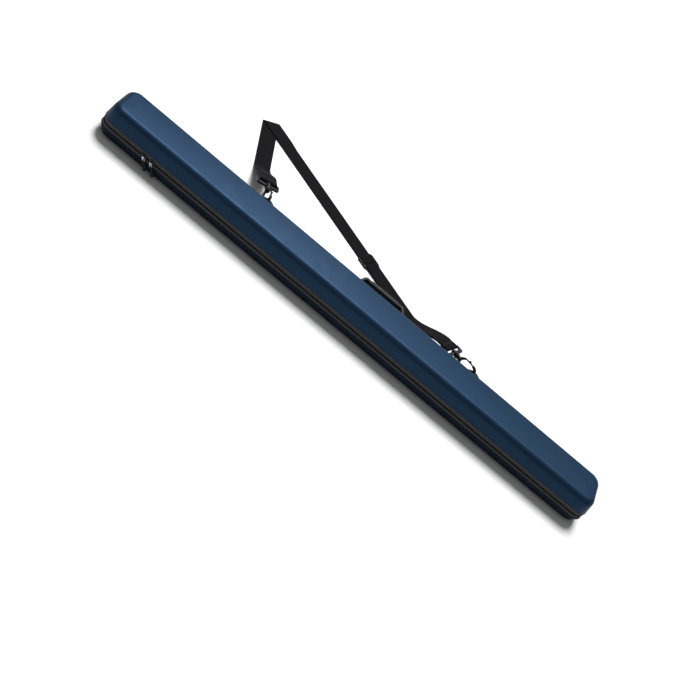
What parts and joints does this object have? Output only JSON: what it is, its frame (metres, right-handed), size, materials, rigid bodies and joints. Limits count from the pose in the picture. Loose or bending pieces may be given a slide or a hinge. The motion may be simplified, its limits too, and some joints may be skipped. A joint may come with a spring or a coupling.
{
  "type": "cue case",
  "caption": "Long hard-shell zip case for a jointed cue, with a carry handle, cue channels in foam and a clip-on shoulder strap.",
  "frame": {"origin": "middle of the back shell's flat face, which the case lies on", "axes": "X runs along the case, +Z is out of the front shell's face, the zip is at -Y and the spine with the handle at +Y"},
  "size_m": [1.2012, 0.4467, 0.072],
  "materials": {
    "shell_skin": "satin blue coated skin",
    "foam": "flocked foam",
    "piping": "satin piping",
    "zip_tape": "woven tape",
    "zip_coil": "moulded coil",
    "spine_cloth": "woven cloth",
    "webbing": "woven webbing",
    "handle_plastic": "moulded, fine grain",
    "grip_rubber": "soft grip",
    "rivet_metal": "black rivets",
    "slider_metal": "black enamel",
    "link_metal": "bright link",
    "pull_rubber": "moulded rubber",
    "hook_plastic": "moulded acetal"
  },
  "bodies": {
    "root": {"back_shell": "shell_skin", "back_foam": "foam", "back_piping": "piping", "lower_zip_tape": "zip_tape", "lower_zip_coil": "zip_coil", "spine_fabric": "spine_cloth", "main_webbing": "webbing", "short_webbing": "webbing", "strap_adjuster": "hook_plastic"},
    "front_half": {"front_shell": "shell_skin", "front_foam": "foam", "front_piping": "piping", "upper_zip_tape": "zip_tape", "upper_zip_coil": "zip_coil", "handle_frame": "handle_plastic", "handle_sleeve": "grip_rubber", "handle_rivets": "rivet_metal", "left_strap_loop": "handle_plastic", "right_strap_loop": "handle_plastic", "loop_rivets": "rivet_metal"},
    "left_slider": {"left_slider": "slider_metal"},
    "left_pull": {"left_pull_link": "link_metal", "left_pull_tab": "pull_rubber"},
    "left_ring": {"left_strap_ring": "hook_plastic"},
    "left_hook": {"left_snap_hook": "hook_plastic"},
    "left_gate": {"left_hook_gate": "hook_plastic"},
    "right_slider": {"right_slider": "slider_metal"},
    "right_pull": {"right_pull_link": "link_metal", "right_pull_tab": "pull_rubber"},
    "right_ring": {"right_strap_ring": "hook_plastic"},
    "right_hook": {"right_snap_hook": "hook_plastic"},
    "right_gate": {"right_hook_gate": "hook_plastic"}
  },
  "joints": [
    {"name": "lid_hinge", "type": "hinge", "parent": "root", "child": "front_half", "pos_m": [0, 0.0495, 0.0285], "axis": [-1, 0, 0], "range_deg": [0, 50]},
    {"name": "left_slider_run", "type": "slide", "parent": "root", "child": "left_slider", "axis": [1, 0, 0], "range_m": [-0.07, 0]},
    {"name": "left_pull_swing", "type": "hinge", "parent": "left_slider", "child": "left_pull", "pos_m": [-0.494, -0.0543, 0.0285], "axis": [0, 0, 1], "range_deg": [-150, 0]},
    {"name": "right_slider_run", "type": "slide", "parent": "root", "child": "right_slider", "axis": [1, 0, 0], "range_m": [0, 1.03]},
    {"name": "right_pull_swing", "type": "hinge", "parent": "right_slider", "child": "right_pull", "pos_m": [-0.476, -0.0543, 0.0285], "axis": [0, 0, 1], "range_deg": [-100, 0]},
    {"name": "left_ring_follow", "type": "slide", "parent": "root", "child": "left_ring", "axis": [0, 0.5429, -0.8398], "range_m": [0, 0.0258]},
    {"name": "left_hook_swivel", "type": "hinge", "parent": "left_ring", "child": "left_hook", "pos_m": [-0.26996, 0.06744, 0.05286], "axis": [-0.3031, 0.9472, -0.1045], "range_deg": [-10, 10]},
    {"name": "left_gate_press", "type": "hinge", "parent": "left_hook", "child": "left_gate", "pos_m": [-0.27271, 0.08905, 0.06049], "axis": [0.895, 0.2452, -0.3726], "range_deg": [0, 14], "stiffness_Nm_per_rad": 0.02},
    {"name": "right_ring_follow", "type": "slide", "parent": "root", "child": "right_ring", "axis": [0, 0.594, -0.8044], "range_m": [0, 0.02444]},
    {"name": "right_hook_swivel", "type": "hinge", "parent": "right_ring", "child": "right_hook", "pos_m": [0.25468, 0.06491, 0.05248], "axis": [-0.8894, 0.445, -0.1045], "range_deg": [-10, 10]},
    {"name": "right_gate_press", "type": "hinge", "parent": "right_hook", "child": "right_gate", "pos_m": [0.2373, 0.07805, 0.06011], "axis": [0.4499, 0.8116, -0.3726], "range_deg": [0, 14], "stiffness_Nm_per_rad": 0.02}
  ],
  "couplings": [
    {"joint": "left_ring_follow", "follows": "lid_hinge", "m_per_rad": 0.029338},
    {"joint": "right_ring_follow", "follows": "lid_hinge", "m_per_rad": 0.027778}
  ]
}
